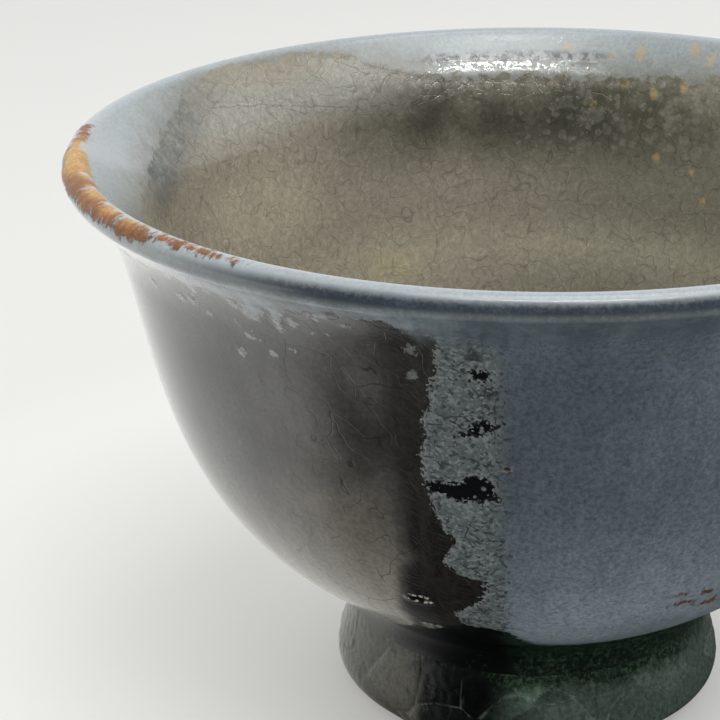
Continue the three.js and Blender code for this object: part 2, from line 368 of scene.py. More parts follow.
def facePlaces(mesh):
    # where every vertex lies on the cup, in mm and degrees
    count = len(mesh.vertices)
    spots = np.empty(count * 3)
    mesh.vertices.foreach_get("co", spots)
    spots = spots.reshape(count, 3) / mm
    places = {"spots": spots, "height": spots[:, 2], "radius": np.hypot(spots[:, 0], spots[:, 1])}
    places["azimuth"] = np.degrees(np.arctan2(spots[:, 0], -spots[:, 1]))
    for name in ("along", "skin"):
        places[name] = np.empty(count)
        mesh.attributes[name].data.foreach_get("value", places[name])
    fromMiddle = wrapTurn(places["azimuth"] - glazeMap["blueMiddle"])
    places["dipDegrees"] = glazeMap["blueHalf"] - np.abs(fromMiddle)
    places["perDegree"] = np.radians(1) * places["radius"]
    places["rear"] = fromMiddle > 0
    # both seams share one layout, upside down at the rear
    places["seamAzimuth"] = places["dipDegrees"] - glazeMap["blueHalf"] + glazeMap["blueMiddle"]
    flipped = glazeMap["rearFlip"] - places["height"]
    places["seamHeight"] = np.where(places["rear"], flipped, places["height"])
    return places


def roughness(spots, scale):
    return np.array([noise.noise(Vector(spot) * scale) for spot in spots])


def broken(spots):
    # uneven edges: broad and fine wander in mm
    return sum(reach * roughness(spots, scale) for reach, scale in glazeMap["wander"])


def readEdge(edge, values):
    table = np.array(edge)
    return np.interp(values, table[:, 0], table[:, 1])


def spotField(places, azimuth, level, spots):
    # mm inside the nearest of some oval spots, negative outside
    best = np.full(len(azimuth), -9.0)
    for centre, height, wide, tall in spots:
        across = wrapTurn(azimuth - centre) * places["perDegree"]
        reach = np.hypot(across / wide, (level - height) / tall)
        best = np.maximum(best, (1 - reach) * min(wide, tall))
    return best


def softStep(values, low, high):
    share = np.clip((values - low) / (high - low), 0, 1)
    return share * share * (3 - 2 * share)


def zoneField(places, azimuth, half, soft, height, halfHeight, softHeight):
    across = half - np.abs(wrapTurn(places["azimuth"] - azimuth))
    rise = halfHeight - np.abs(places["height"] - height)
    return softStep(across, -soft, soft) * softStep(rise, -softHeight, softHeight)


def crackField(places, azimuth, height, toAzimuth, toHeight):
    # mm above a slanting crack, far off past its ends
    share = wrapTurn(places["azimuth"] - azimuth) / (toAzimuth - azimuth)
    above = places["height"] - height - share * (toHeight - height)
    return np.where((share > 0) & (share < 1) & (np.abs(above) < 3), above, 9.0)


def seamFields(places, wander):
    # the crust of the overlap with its breaks, the black run and the dark streak
    m, p = glazeMap, places
    seam, level = p["seamAzimuth"], p["seamHeight"]
    breaks = spotField(p, seam, level, m["breaks"]) + 0.35 * wander
    leftEdge = (seam - readEdge(m["crustEdge"], level)) * p["perDegree"] + 0.5 * wander
    poolTop = readEdge(m["poolTop"], seam) - np.where(p["rear"], m["rearRunDrop"], 0)
    run = poolTop - p["height"] + 0.5 * wander
    crust = np.minimum.reduce([leftEdge, -run, -breaks])
    lowSpread = 4.0 * softStep(level, 27, 18)
    streak = softStep(seam + 1.2 * wander + lowSpread, -19.5, -14.5) * (0.75 + 0.25 * softStep(level, 38, 26))
    return {"breaks": breaks, "crust": crust, "run": run, "streak": streak * (p["dipDegrees"] < 0.2)}


def paintFields(places):
    m, p = glazeMap, places
    wander = broken(p["spots"])
    azimuth, along, height = p["azimuth"], p["along"], p["height"]
    outside = along > 0
    veil = np.where(
        outside, height - readEdge(m["veilOutside"], azimuth), along - readEdge(m["veilInside"], azimuth))
    rustLow = np.where(outside, spotField(p, azimuth, height, m["rustLow"]) - 0.1, -9)
    rustLip = spotField(p, azimuth, along, m["rustLip"])
    rustLip = np.minimum(rustLip, -spotField(p, azimuth, along, m["rustGaps"]))
    fields = {
        "dip": p["dipDegrees"] * p["perDegree"], "veil": veil + wander,
        "flecks": np.where(outside, spotField(p, azimuth, height, m["flecks"]) + 0.22 * wander, -9),
        "rust": np.maximum(rustLip, rustLow) + 0.45 * wander,
        "ochre": spotField(p, azimuth, along, m["ochre"]),
        "gold": spotField(p, azimuth, height, m["gold"]) + 0.3 * wander,
        "longCrack": crackField(p, *m["longCrack"]) + 0.4 * wander,
    }
    fields.update(seamFields(p, wander))
    fields.update({name: zoneField(p, *zone) for name, zone in m["zones"].items()})
    fields["charcoal"] *= softStep(veil + wander, -5.2, -1.4)
    return fields


# relief of the glazes: heights, depths and sizes in mm, scales per mm, and the angle of a sharp edge
relief = {
    "crust": 0.16, "crustGrain": 0.035, "grainScale": 1.3, "fineScale": 2.9, "veil": 0.07, "fleck": 0.06,
    "drip": 0.14, "blisterDepth": 0.3, "blisterRim": 0.16, "pitDepth": 0.14,
    "plateSize": 4.6, "plateGroove": 0.05, "plateStep": 0.06, "plateBend": 0.8, "plateSquash": 1.25,
    "bendScale": 0.22, "footGrain": 0.05, "footScale": 1.6, "sharpFrom": 40,
}


def faceNormals(along):
    # outward direction of the coat's face, as radius and height, at a length from the crest
    path = joinRuns(runs["liner"], runs["lip"], runs["dip"])
    start = outlines["linerGlaze"][2]
    lengths = start + np.array(runLengths(path))
    outward = np.array(parallelRun(path, -1)) - np.array(path)
    return np.interp(along, lengths, outward[:, 0]), np.interp(along, lengths, outward[:, 1])


def reliefHeight(places, fields):
    # how far the face stands out of the plain turned shape, in mm
    r = relief
    spots = places["spots"]
    grain = roughness(spots, r["grainScale"]) + 0.5 * roughness(spots, r["fineScale"])
    onCrust = softStep(fields["crust"], -0.05, 0.35) * softStep(-fields["veil"], 0, 1.5)
    onCrust *= softStep(-fields["dip"], 0, 1.8)
    height = onCrust * (r["crust"] + r["crustGrain"] * grain)
    height += r["fleck"] * softStep(fields["flecks"], -0.05, 0.25)
    azimuth, level = places["azimuth"], places["height"]
    height += r["drip"] * softStep(spotField(places, azimuth, level, glazeMap["drip"]), -0.05, 0.3)
    blister = spotField(places, azimuth, level, [glazeMap["blister"]])
    height += r["blisterRim"] * softStep(blister, -0.4, -0.05)
    height -= r["blisterDepth"] * softStep(blister, -0.1, 0.25)
    pit = spotField(places, azimuth, level, [glazeMap["pit"]])
    height -= r["pitDepth"] * softStep(pit, -0.1, 0.2)
    height *= places["along"] > 0
    # over the blue half and in the haze the veil has no step
    overBlue = softStep(fields["dip"], -8, -5) * softStep(places["along"], 0, 1)
    stepped = (1 - overBlue) * (1 - 0.8 * fields["haze"])
    return height + r["veil"] * softStep(fields["veil"], -0.1, 0.5) * stepped


def storeFields(mesh, fields):
    for field, values in fields.items():
        mesh.attributes.new(field, "FLOAT", "POINT").data.foreach_set("value", values.astype(np.float32))


def pushFace(mesh, places, rise, outR, outZ):
    turn = np.radians(places["azimuth"])
    reach = rise * places["skin"]
    push = np.stack([outR * np.sin(turn), -outR * np.cos(turn), outZ], axis=1) * reach[:, None]
    mesh.vertices.foreach_set("co", ((places["spots"] + push) * mm).ravel())
    mesh.update()


def finishFace(name):
    # paints the glaze map on a coat and raises its relief
    mesh = pieces[name].data
    places = facePlaces(mesh)
    fields = paintFields(places)
    storeFields(mesh, fields)
    pushFace(mesh, places, reliefHeight(places, fields), *faceNormals(places["along"]))


def finishFoot():
    # the foot's glaze has cracked into plates that lie a little higher and lower
    mesh = pieces["footGlaze"].data
    places = facePlaces(mesh)
    shifts = (0, 31, 57)   # one apart from the other for each axis
    bends = np.stack([roughness(places["spots"] + shift, relief["bendScale"]) for shift in shifts], axis=1)
    bent = places["spots"] * (1, 1, relief["plateSquash"]) + relief["plateBend"] * bends
    plates = [noise.voronoi(Vector(spot) / relief["plateSize"]) for spot in bent]
    edge = np.array([(far - near) for (near, far, *_), _ in plates]) * relief["plateSize"] / 2
    tone = np.array([noise.cell(points[0] * 7.7) for _, points in plates])
    dip = places["dipDegrees"] * places["perDegree"]
    storeFields(mesh, {"dip": dip, "plateEdge": edge, "plateTone": tone})
    clear = softStep(places["height"], 1.2, 2.6) * softStep(-places["height"], -9.2, -7.6)
    rise = relief["plateStep"] * (tone - 0.5) - relief["plateGroove"] * softStep(-edge, -0.25, 0)
    grain = relief["footGrain"] * roughness(places["spots"], relief["footScale"])
    pushFace(mesh, places, (rise + grain) * clear, np.ones(len(edge)), np.zeros(len(edge)))


for name in ("linerGlaze", "lipGlaze", "darkDip", "blueDip", "frontOverlap", "rearOverlap"):
    finishFace(name)
finishFoot()
poolPlaces = facePlaces(pieces["glazePool"].data)
storeFields(pieces["glazePool"].data, {"dip": poolPlaces["dipDegrees"] * poolPlaces["perDegree"]})
for piece in pieces.values():
    piece.data.set_sharp_from_angle(angle=math.radians(relief["sharpFrom"]))
print("glaze map painted")


# node helpers; a colour is written as red, green and blue from 0 to 255
def linear(colour):
    return [c / 3294.6 if c < 10.3 else ((c / 255 + 0.055) / 1.055) ** 2.4 for c in colour] + [1]


def feed(tree, socket, value):
    if isinstance(value, bpy.types.NodeSocket):
        tree.links.new(value, socket)
    elif isinstance(value, tuple):
        socket.default_value = linear(value)
    else:
        socket.default_value = value


def addNode(tree, kind, inputs=(), **settings):
    made = tree.nodes.new("ShaderNode" + kind)
    for name, value in settings.items():
        setattr(made, name, value)
    for socket, value in dict(inputs).items():
        feed(tree, made.inputs[socket], value)
    return made


def calc(tree, operation, a, b=0.0, clamp=False):
    return addNode(tree, "Math", {0: a, 1: b}, operation=operation, use_clamp=clamp).outputs[0]


def times(tree, *values):
    product = values[0]
    for value in values[1:]:
        product = calc(tree, "MULTIPLY", product, value)
    return product


def sway(tree, value, texture, reach):
    # moves a value up and down by a texture that runs from 0 to 1
    return calc(tree, "ADD", value, times(tree, calc(tree, "SUBTRACT", texture, 0.5), reach))


def ramp(tree, value, low, high, toLow=0.0, toHigh=1.0):
    sockets = {"Value": value, "From Min": low, "From Max": high, "To Min": toLow, "To Max": toHigh}
    return addNode(tree, "MapRange", sockets, interpolation_type="SMOOTHSTEP").outputs[0]


def band(tree, value, low, high, soft):
    # 1 between two values, with soft ends
    return times(tree, ramp(tree, value, low - soft, low + soft), ramp(tree, value, high + soft, high - soft))


def tint(tree, factor, a, b, mode="MIX"):
    return addNode(tree, "Mix", {0: factor, 6: a, 7: b}, data_type="RGBA", blend_type=mode).outputs[2]


def vectorCalc(tree, operation, a, b):
    return addNode(tree, "VectorMath", {0: a, 1: b}, operation=operation).outputs[0]


def dim(tree, colour, factor):
    return addNode(tree, "VectorMath", {0: colour, "Scale": factor}, operation="SCALE").outputs[0]


def blend(tree, factor, a, b):
    return addNode(tree, "Mix", {0: factor, 2: a, 3: b}, data_type="FLOAT").outputs[0]


def clouds(tree, place, scale, detail=2.0, harsh=0.5):
    sockets = {"Vector": place, "Scale": scale, "Detail": detail, "Roughness": harsh}
    return addNode(tree, "TexNoise", sockets).outputs[0]


def cells(tree, place, scale, feature="F1"):
    return addNode(tree, "TexVoronoi", {"Vector": place, "Scale": scale}, feature=feature)


def grains(tree, place, scale):
    # one random value for each small crystal
    return addNode(tree, "SeparateXYZ", {0: cells(tree, place, scale).outputs["Color"]}).outputs[0]


def painted(tree, name):
    return addNode(tree, "Attribute", attribute_name=name).outputs["Fac"]


def ovalSpot(tree, place, azimuth, height, wide, tall):
    # mm inside an oval spot of the outside wall
    wall = np.array(runs["dip"])[::-1]
    radius = np.interp(height, wall[:, 1], wall[:, 0])
    turn = math.radians(azimuth)
    centre = [radius * math.sin(turn), -radius * math.cos(turn), height]
    away = vectorCalc(tree, "SUBTRACT", place, centre)
    away = vectorCalc(tree, "MULTIPLY", away, [1 / wide, 1 / wide, 1 / tall])
    reach = addNode(tree, "VectorMath", {0: away}, operation="LENGTH").outputs["Value"]
    return times(tree, calc(tree, "SUBTRACT", 1.0, reach), min(wide, tall))


def newGroup(name, inputs, outputs):
    group = bpy.data.node_groups.new(name, "ShaderNodeTree")
    for label, kind, value in inputs:
        socket = group.interface.new_socket(label, in_out="INPUT", socket_type="NodeSocket" + kind)
        socket.default_value = value
    for label, kind in outputs:
        group.interface.new_socket(label, in_out="OUTPUT", socket_type="NodeSocket" + kind)
    return group, group.nodes.new("NodeGroupInput").outputs, group.nodes.new("NodeGroupOutput").inputs


def useGroup(tree, name, **values):
    made = tree.nodes.new("ShaderNodeGroup")
    made.node_tree = bpy.data.node_groups[name]
    for label, value in values.items():
        feed(tree, made.inputs[label], value)
    return made.outputs


def ragged(tree, distance, fray, scale, soft, scallop=0.0):
    edge = {"Distance": distance, "Fray": fray, "Scale": scale, "Soft": soft, "Scallop": scallop}
    return useGroup(tree, "raggedEdge", **edge)["Mask"]


def cracks(tree, scale, width, warp, slant=0.0, reach=1.0):
    net = {"Scale": scale, "Width": width, "Warp": warp, "Slant": slant, "Reach": reach}
    return useGroup(tree, "crackle", **net)["Lines"]


glazeOutputs = [("Colour", "Color"), ("Roughness", "Float"), ("Height", "Float")]


def sendOut(tree, outlet, *values):
    for socket, value in zip(outlet, values):
        feed(tree, socket, value)


flowLook = {"radius": 33.0, "squash": 0.16}   # mm, and the share of a length along the run


def cupPlaceGroup():
    # mm coordinates, and coordinates drawn out along the way that glaze runs
    outputs = [("Place", "Vector"), ("Flow", "Vector"), ("Height", "Float"), ("Along", "Float")]
    tree, _, outlet = newGroup("cupPlace", [], outputs)
    spot = addNode(tree, "TexCoord").outputs["Object"]
    place = dim(tree, spot, 1 / mm)
    x, y, z = addNode(tree, "SeparateXYZ", {0: place}).outputs
    radius = calc(tree, "SQRT", calc(tree, "ADD", times(tree, x, x), times(tree, y, y)))
    along = painted(tree, "along")
    turned = [times(tree, calc(tree, "DIVIDE", side, radius), flowLook["radius"]) for side in (x, y)]
    drawn = times(tree, along, flowLook["squash"])
    flow = addNode(tree, "CombineXYZ", {0: turned[0], 1: turned[1], 2: drawn})
    sendOut(tree, outlet, place, flow.outputs[0], z, along)


def raggedGroup():
    # a mask from a distance in mm, with a frayed or scalloped edge
    inputs = [
        ("Distance", "Float", 0.0), ("Fray", "Float", 0.3), ("Scale", "Float", 2.0), ("Soft", "Float", 0.1),
        ("Scallop", "Float", 0.0)]
    tree, inlet, outlet = newGroup("raggedEdge", inputs, [("Mask", "Float")])
    place = useGroup(tree, "cupPlace")["Place"]
    moved = sway(tree, inlet["Distance"], clouds(tree, place, inlet["Scale"], 3, 0.65), inlet["Fray"])
    lobes = calc(tree, "SUBTRACT", 0.35, cells(tree, place, 0.9).outputs["Distance"])
    moved = calc(tree, "ADD", moved, times(tree, lobes, inlet["Scallop"]))
    feed(tree, outlet["Mask"], ramp(tree, moved, times(tree, inlet["Soft"], -1.0), inlet["Soft"]))


def crackleGroup():
    # hair cracks; slant draws them out into long diagonals
    inputs = [
        ("Scale", "Float", 0.4), ("Width", "Float", 0.05), ("Warp", "Float", 0.5), ("Slant", "Float", 0.0),
        ("Reach", "Float", 1.0)]
    tree, inlet, outlet = newGroup("crackle", inputs, [("Lines", "Float")])
    place = useGroup(tree, "cupPlace")["Place"]
    drift = addNode(tree, "TexNoise", {"Vector": place, "Scale": 0.35, "Detail": 1.0}).outputs["Color"]
    push = vectorCalc(tree, "SUBTRACT", drift, [0.5, 0.5, 0.5])
    push = dim(tree, push, times(tree, inlet["Warp"], 8.0))
    x, y, z = addNode(tree, "SeparateXYZ", {0: vectorCalc(tree, "ADD", place, push)}).outputs
    leant = calc(tree, "ADD", x, times(tree, z, inlet["Slant"]))
    shortened = calc(tree, "DIVIDE", z, inlet["Reach"])
    drawn = addNode(tree, "CombineXYZ", {0: leant, 1: y, 2: shortened}).outputs[0]
    edge = cells(tree, drawn, inlet["Scale"], "DISTANCE_TO_EDGE").outputs["Distance"]
    width = times(tree, inlet["Width"], inlet["Scale"])
    feed(tree, outlet["Lines"], ramp(tree, edge, 0.0, width, 1.0, 0.0))


def frostGroup():
    # small round crystals with a paler rim, more and larger where the density is higher
    inputs = [("Density", "Float", 0.5), ("Scale", "Float", 0.8)]
    tree, inlet, outlet = newGroup("frost", inputs, [("Mask", "Float"), ("Rim", "Float")])
    place = useGroup(tree, "cupPlace")["Place"]
    drops = cells(tree, place, inlet["Scale"])
    pick = addNode(tree, "SeparateXYZ", {0: drops.outputs["Color"]}).outputs[0]
    size = calc(tree, "SUBTRACT", inlet["Density"], times(tree, pick, 0.62))
    reach = sway(tree, drops.outputs["Distance"], clouds(tree, place, 1.8, 3, 0.6), 1.2)
    inside = calc(tree, "SUBTRACT", size, reach)
    mask = ramp(tree, inside, -0.03, 0.2)
    feed(tree, outlet["Mask"], mask)
    feed(tree, outlet["Rim"], times(tree, mask, ramp(tree, inside, 0.2, 0.06)))


# dark dip: glossy warm grey with long crazing, browner and blacker towards the seam
darkLook = {
    "deep": (54, 53, 51), "grey": (80, 79, 77), "beige": (170, 168, 158), "brown": (124, 117, 103),
    "streak": (24, 23, 22), "craze": (34, 32, 30), "scratch": (62, 60, 55), "fleck": (150, 156, 158),
    "beigeTop": 31.0, "beigeFoot": 15.0, "crazeScale": 0.26, "crazeWidth": 0.055,
}


def darkDipGroup():
    look = darkLook
    tree, _, outlet = newGroup("darkDip", [], glazeOutputs)
    place = useGroup(tree, "cupPlace")
    drift = clouds(tree, place["Place"], 0.11, 4, 0.6)
    fineGrain = clouds(tree, place["Place"], 2.6, 3, 0.7)
    colour = tint(tree, ramp(tree, drift, 0.3, 0.7), look["deep"], look["grey"])
    streak = painted(tree, "streak")
    low = ramp(tree, place["Height"], look["beigeTop"], look["beigeFoot"], 0.0, 0.8)
    colour = tint(tree, times(tree, low, ramp(tree, streak, 0.0, 0.8, 1.0, 0.1)), colour, look["beige"])
    dip = painted(tree, "dip")
    warm = times(tree, band(tree, dip, -19.0, -9.5, 4.0), band(tree, place["Height"], 19.0, 33.0, 5.0))
    colour = tint(tree, times(tree, warm, ramp(tree, drift, 0.25, 0.75, 0.12, 0.45)), colour, look["brown"])
    crazes = cracks(tree, look["crazeScale"], look["crazeWidth"], 0.5, slant=0.7, reach=1.9)
    crazes = times(tree, crazes, ramp(tree, dip, -30.0, -8.0, 0.12, 0.7))
    colour = tint(tree, crazes, colour, look["craze"])
    scratch = clouds(tree, place["Flow"], 1.2, 3, 0.7)
    colour = tint(tree, times(tree, streak, ramp(tree, scratch, 0.3, 0.6, 0.8, 1.0)), colour, look["streak"])
    hatch = cracks(tree, 0.9, 0.1, 0.25, slant=1.5, reach=2.4)
    hatch = times(tree, hatch, ramp(tree, streak, 0.05, 0.4), ramp(tree, scratch, 0.4, 0.62, 0.05, 0.5))
    colour = tint(tree, hatch, colour, look["scratch"])
    colour = dim(tree, colour, ramp(tree, fineGrain, 0.28, 0.72, 0.8, 1.2))
    colour = dim(tree, colour, ramp(tree, clouds(tree, place["Flow"], 0.5, 4, 0.65), 0.3, 0.7, 0.88, 1.12))
    mottle = clouds(tree, place["Place"], 1.5, 4, 0.75)
    spots = sway(tree, painted(tree, "flecks"), mottle, 2.0)
    fleck = times(tree, ramp(tree, spots, -0.06, 0.1), ramp(tree, fineGrain, 0.35, 0.6, 0.5, 1.0))
    fleck = times(tree, fleck, ramp(tree, dip, -14.0, -9.5, 0.85, 0.4))
    density = ramp(tree, painted(tree, "veil"), -4.5, -0.3, 0.0, 0.36)
    scattered = useGroup(tree, "frost", Density=density, Scale=0.95)["Mask"]
    fleck = calc(tree, "MAXIMUM", fleck, times(tree, scattered, ramp(tree, mottle, 0.4, 0.6, 0.2, 0.8)))
    colour = tint(tree, fleck, colour, look["fleck"])
    rough = calc(tree, "ADD", ramp(tree, fineGrain, 0.3, 0.7, 0.13, 0.21), times(tree, fleck, 0.2))
    height = calc(tree, "SUBTRACT", times(tree, fineGrain, 0.3), times(tree, crazes, 0.5))
    sendOut(tree, outlet, colour, rough, calc(tree, "ADD", height, times(tree, hatch, 0.5)))


# blue dip: satin slate with a fine grain, lighter low down and away from the seam
blueLook = {
    "slate": (76, 87, 96), "violet": (78, 88, 100), "light": (106, 117, 128), "low": (128, 138, 146),
    "neck": (92, 100, 107),
}


def blueDipGroup():
    look = blueLook
    tree, _, outlet = newGroup("blueDip", [], glazeOutputs)
    place = useGroup(tree, "cupPlace")
    drift = clouds(tree, place["Place"], 0.09, 4, 0.6)
    fineGrain = clouds(tree, place["Place"], 2.8, 3, 0.8)
    colour = tint(tree, ramp(tree, drift, 0.3, 0.7), look["slate"], look["violet"])
    away = sway(tree, painted(tree, "dip"), drift, 14.0)
    colour = tint(tree, ramp(tree, away, 4.0, 22.0, 0.0, 0.75), colour, look["light"])
    low = times(tree, ramp(tree, place["Height"], 34.0, 18.0), ramp(tree, drift, 0.3, 0.7, 0.5, 0.95))
    colour = tint(tree, low, colour, look["low"])
    colour = tint(tree, ramp(tree, place["Height"], 43.5, 48.5, 0.0, 0.8), colour, look["neck"])
    colour = dim(tree, colour, ramp(tree, fineGrain, 0.25, 0.75, 0.62, 1.38))
    colour = dim(tree, colour, ramp(tree, clouds(tree, place["Flow"], 0.6, 4, 0.65), 0.3, 0.7, 0.93, 1.09))
    rough = ramp(tree, fineGrain, 0.3, 0.7, 0.3, 0.42)
    sendOut(tree, outlet, colour, rough, times(tree, fineGrain, 0.7))


# crust where the dips overlap: fine teal-grey crystals with dark cracks
crustLook = {
    "teal": (88, 96, 97), "pale": (119, 128, 126), "crevice": (40, 45, 47), "break": (11, 13, 17),
    # the grains' pale colour also paints the drip above the foot, there partly as painted highlight
    "grainAndDripSheen": (128, 134, 128), "crystalScale": 4.4, "edgeWidth": 0.4,
}


def crustGroup():
    look = crustLook
    tree, _, outlet = newGroup("crustSkin", [], glazeOutputs)
    place = useGroup(tree, "cupPlace")["Place"]
    mottle = clouds(tree, place, 0.9, 5, 0.75)
    crystal = grains(tree, place, look["crystalScale"])
    bright = sway(tree, crystal, mottle, 0.9)
    colour = tint(tree, ramp(tree, bright, 0.45, 1.1), look["teal"], look["pale"])
    colour = tint(tree, ramp(tree, bright, 0.3, 0.0, 0.0, 0.7), colour, look["crevice"])
    lines = cracks(tree, 0.55, 0.1, 0.35, slant=0.9)
    lines = times(tree, lines, ramp(tree, clouds(tree, place, 0.6, 3, 0.6), 0.45, 0.58, 0.0, 0.85))
    colour = tint(tree, lines, colour, look["crevice"])
    rim = band(tree, painted(tree, "crust"), 0.05, look["edgeWidth"], 0.12)
    colour = tint(tree, times(tree, rim, crystal, 0.55), colour, look["pale"])
    height = calc(tree, "SUBTRACT", calc(tree, "ADD", mottle, times(tree, crystal, 0.5)), lines)
    sendOut(tree, outlet, colour, ramp(tree, crystal, 0.2, 0.8, 0.42, 0.6), height)


# pale veil of the lip: blue-white on the crest, painted navy shade under it, with rust and ochre
veilLook = {
    "grey": (142, 146, 143), "pale": (161, 169, 171), "crest": (158, 167, 172), "navyShade": (40, 50, 63),
    "neckDark": (122, 131, 137), "neckBlue": (84, 93, 101), "darkRow": (50, 52, 48),
    "rust": (114, 66, 20), "russet": (156, 98, 38), "burnt": (70, 52, 34), "ochre": (176, 126, 54),
    "sand": (192, 156, 98), "navyShadeTop": 0.95, "navyShadeFoot": 2.0,
}


def rustLook(tree, place, along):
    # rust and ochre drawn across the lip in streaks, with a burnt lower fringe
    look = veilLook
    streaks = clouds(tree, place["Flow"], 2.6, 5, 0.8)
    blotch = clouds(tree, place["Place"], 0.6, 5, 0.75)
    distance = sway(tree, sway(tree, painted(tree, "rust"), streaks, 1.6), blotch, 1.8)
    mask = ragged(tree, distance, 1.3, 2.6, 0.22)
    mixed = sway(tree, streaks, blotch, 1.1)
    tone = tint(tree, ramp(tree, mixed, 0.28, 0.72), look["russet"], look["rust"])
    gilt = tint(tree, ramp(tree, mixed, 0.3, 0.7), look["sand"], look["ochre"])
    tone = tint(tree, ramp(tree, sway(tree, painted(tree, "ochre"), blotch, 3.2), -0.5, 0.5), tone, gilt)
    fringe = times(tree, band(tree, distance, -0.4, 0.2, 0.2), ramp(tree, along, 0.2, 0.9, 0.0, 0.9))
    tone = dim(tree, tone, ramp(tree, clouds(tree, place["Place"], 3.4, 3, 0.75), 0.3, 0.7, 0.68, 1.26))
    return tint(tree, fringe, tone, look["burnt"]), mask


def gild(tree, colour, grain, share=1.0):
    # gold spots under the lip
    golden = sway(tree, painted(tree, "gold"), grain, 1.3)
    return tint(tree, times(tree, ramp(tree, golden, -0.2, 0.35, 0.0, 0.6), share), colour, linerLook["gold"])


def paleVeilGroup():
    look = veilLook
    tree, _, outlet = newGroup("paleVeil", [], glazeOutputs + [("Mask", "Float")])
    place = useGroup(tree, "cupPlace")
    along, dip, depth = place["Along"], painted(tree, "dip"), painted(tree, "veil")
    streaks = clouds(tree, place["Flow"], 0.55, 4, 0.6)
    mottle = clouds(tree, place["Place"], 0.8, 4, 0.65)
    fineGrain = clouds(tree, place["Place"], 2.8, 3, 0.75)
    thick = sway(tree, sway(tree, depth, mottle, 4.0), streaks, 2.0)
    colour = tint(tree, ramp(tree, thick, 0.5, 5.0), look["grey"], look["pale"])
    neck = tint(tree, ramp(tree, dip, -9.0, -1.0), look["neckDark"], look["neckBlue"])
    neck = dim(tree, neck, ramp(tree, sway(tree, streaks, mottle, 0.6), 0.3, 0.7, 0.72, 1.16))
    colour = tint(tree, ramp(tree, along, 1.5, 2.6), colour, neck)
    row = times(tree, painted(tree, "darkRow"), ramp(tree, mottle, 0.42, 0.56), ramp(tree, along, 0.0, -1.0))
    colour = tint(tree, times(tree, row, 0.95), colour, look["darkRow"])
    frayed = sway(tree, along, fineGrain, 0.45)
    crest = band(tree, frayed, -0.9, 0.85, 0.4)
    colour = tint(tree, times(tree, crest, ramp(tree, streaks, 0.3, 0.6, 0.6, 0.95)), colour, look["crest"])
    # painted shade: a dark navy band just under the crest, lower and fading out on the dark half
    lowered = calc(tree, "SUBTRACT", frayed, ramp(tree, dip, -30.0, -14.0, 0.35, 0.0))
    navyShade = band(tree, lowered, look["navyShadeTop"], look["navyShadeFoot"], 0.4)
    navyShade = times(tree, navyShade, ramp(tree, dip, -34.0, -12.0, 0.0, 0.95))
    navyShade = times(tree, navyShade, ramp(tree, fineGrain, 0.3, 0.6, 0.85, 1.0))
    colour = tint(tree, navyShade, colour, look["navyShade"])
    colour = dim(tree, colour, ramp(tree, fineGrain, 0.25, 0.75, 0.88, 1.12))
    rustTone, rust = rustLook(tree, place, along)
    colour = tint(tree, rust, colour, rustTone)
    onBlue = times(tree, ramp(tree, dip, -8.5, -6.0), ramp(tree, along, 1.0, 2.0))
    inside = ramp(tree, along, 0.0, -1.5)
    colour = gild(tree, colour, fineGrain, times(tree, inside, 0.75))
    soft = blend(tree, times(tree, painted(tree, "haze"), inside), blend(tree, onBlue, 0.16, 1.6), 1.3)
    # on the dark half the veil hangs in a thin curtain
    curtain = times(tree, ramp(tree, along, 1.5, 3.0), ramp(tree, dip, -9.0, -14.0))
    hung = sway(tree, depth, streaks, times(tree, curtain, 3.4))
    mask = ragged(tree, hung, 1.0, 1.4, soft, times(tree, inside, 1.6))
    thin = calc(tree, "MAXIMUM", inside, curtain)
    mask = times(tree, mask, blend(tree, thin, 1.0, ramp(tree, thick, -0.5, 2.5, 0.6, 1.0)))
    rough = blend(tree, rust, ramp(tree, fineGrain, 0.3, 0.7, 0.1, 0.2), 0.45)
    # single crystals at the veil's edge flash, those between them stay dull
    sheen = times(tree, painted(tree, "sheen"), inside)
    rough = blend(tree, sheen, rough, ramp(tree, grains(tree, place["Place"], 3.2), 0.4, 0.6, 0.02, 0.3))
    height = calc(tree, "ADD", times(tree, fineGrain, 0.3), times(tree, mottle, 0.4))
    sendOut(tree, outlet, colour, rough, times(tree, height, ramp(tree, sheen, 0.0, 1.0, 1.0, 0.04)))
    feed(tree, outlet["Mask"], calc(tree, "MAXIMUM", mask, rust))


# liner: olive and tan glass with fine swirling crackle, frosted and gilded under the lip
linerLook = {
    "tan": (150, 143, 128), "olive": (129, 126, 110), "shadow": (66, 66, 55), "honey": (170, 164, 144),
    "yellow": (182, 170, 132), "charcoal": (90, 94, 91), "haze": (158, 159, 150), "well": (92, 94, 76),
    # the sandy tone is partly the liner's own tan and partly painted light on the left inner wall
    "sandyAndLit": (180, 171, 152), "frost": (164, 162, 148), "gold": (196, 164, 106),
    "crackScale": 0.4, "crackWidth": 0.085,
}


def linerCracks(tree, colour):
    look = linerLook
    scale, width = look["crackScale"], look["crackWidth"]
    dark = cracks(tree, scale, width, 0.55)
    light = cracks(tree, scale * 1.6, width, 0.5)
    close = cracks(tree, scale * 3.0, width, 0.3)
    hair = ramp(tree, calc(tree, "ABSOLUTE", painted(tree, "longCrack")), 0.0, 0.12, 1.0, 0.0)
    for lines, tone in ((close, 0.88), (light, 1.16), (dark, 0.76), (hair, 0.74)):
        colour = dim(tree, colour, ramp(tree, lines, 0.0, 1.0, 1.0, tone))
    return colour, calc(tree, "MAXIMUM", dark, hair)


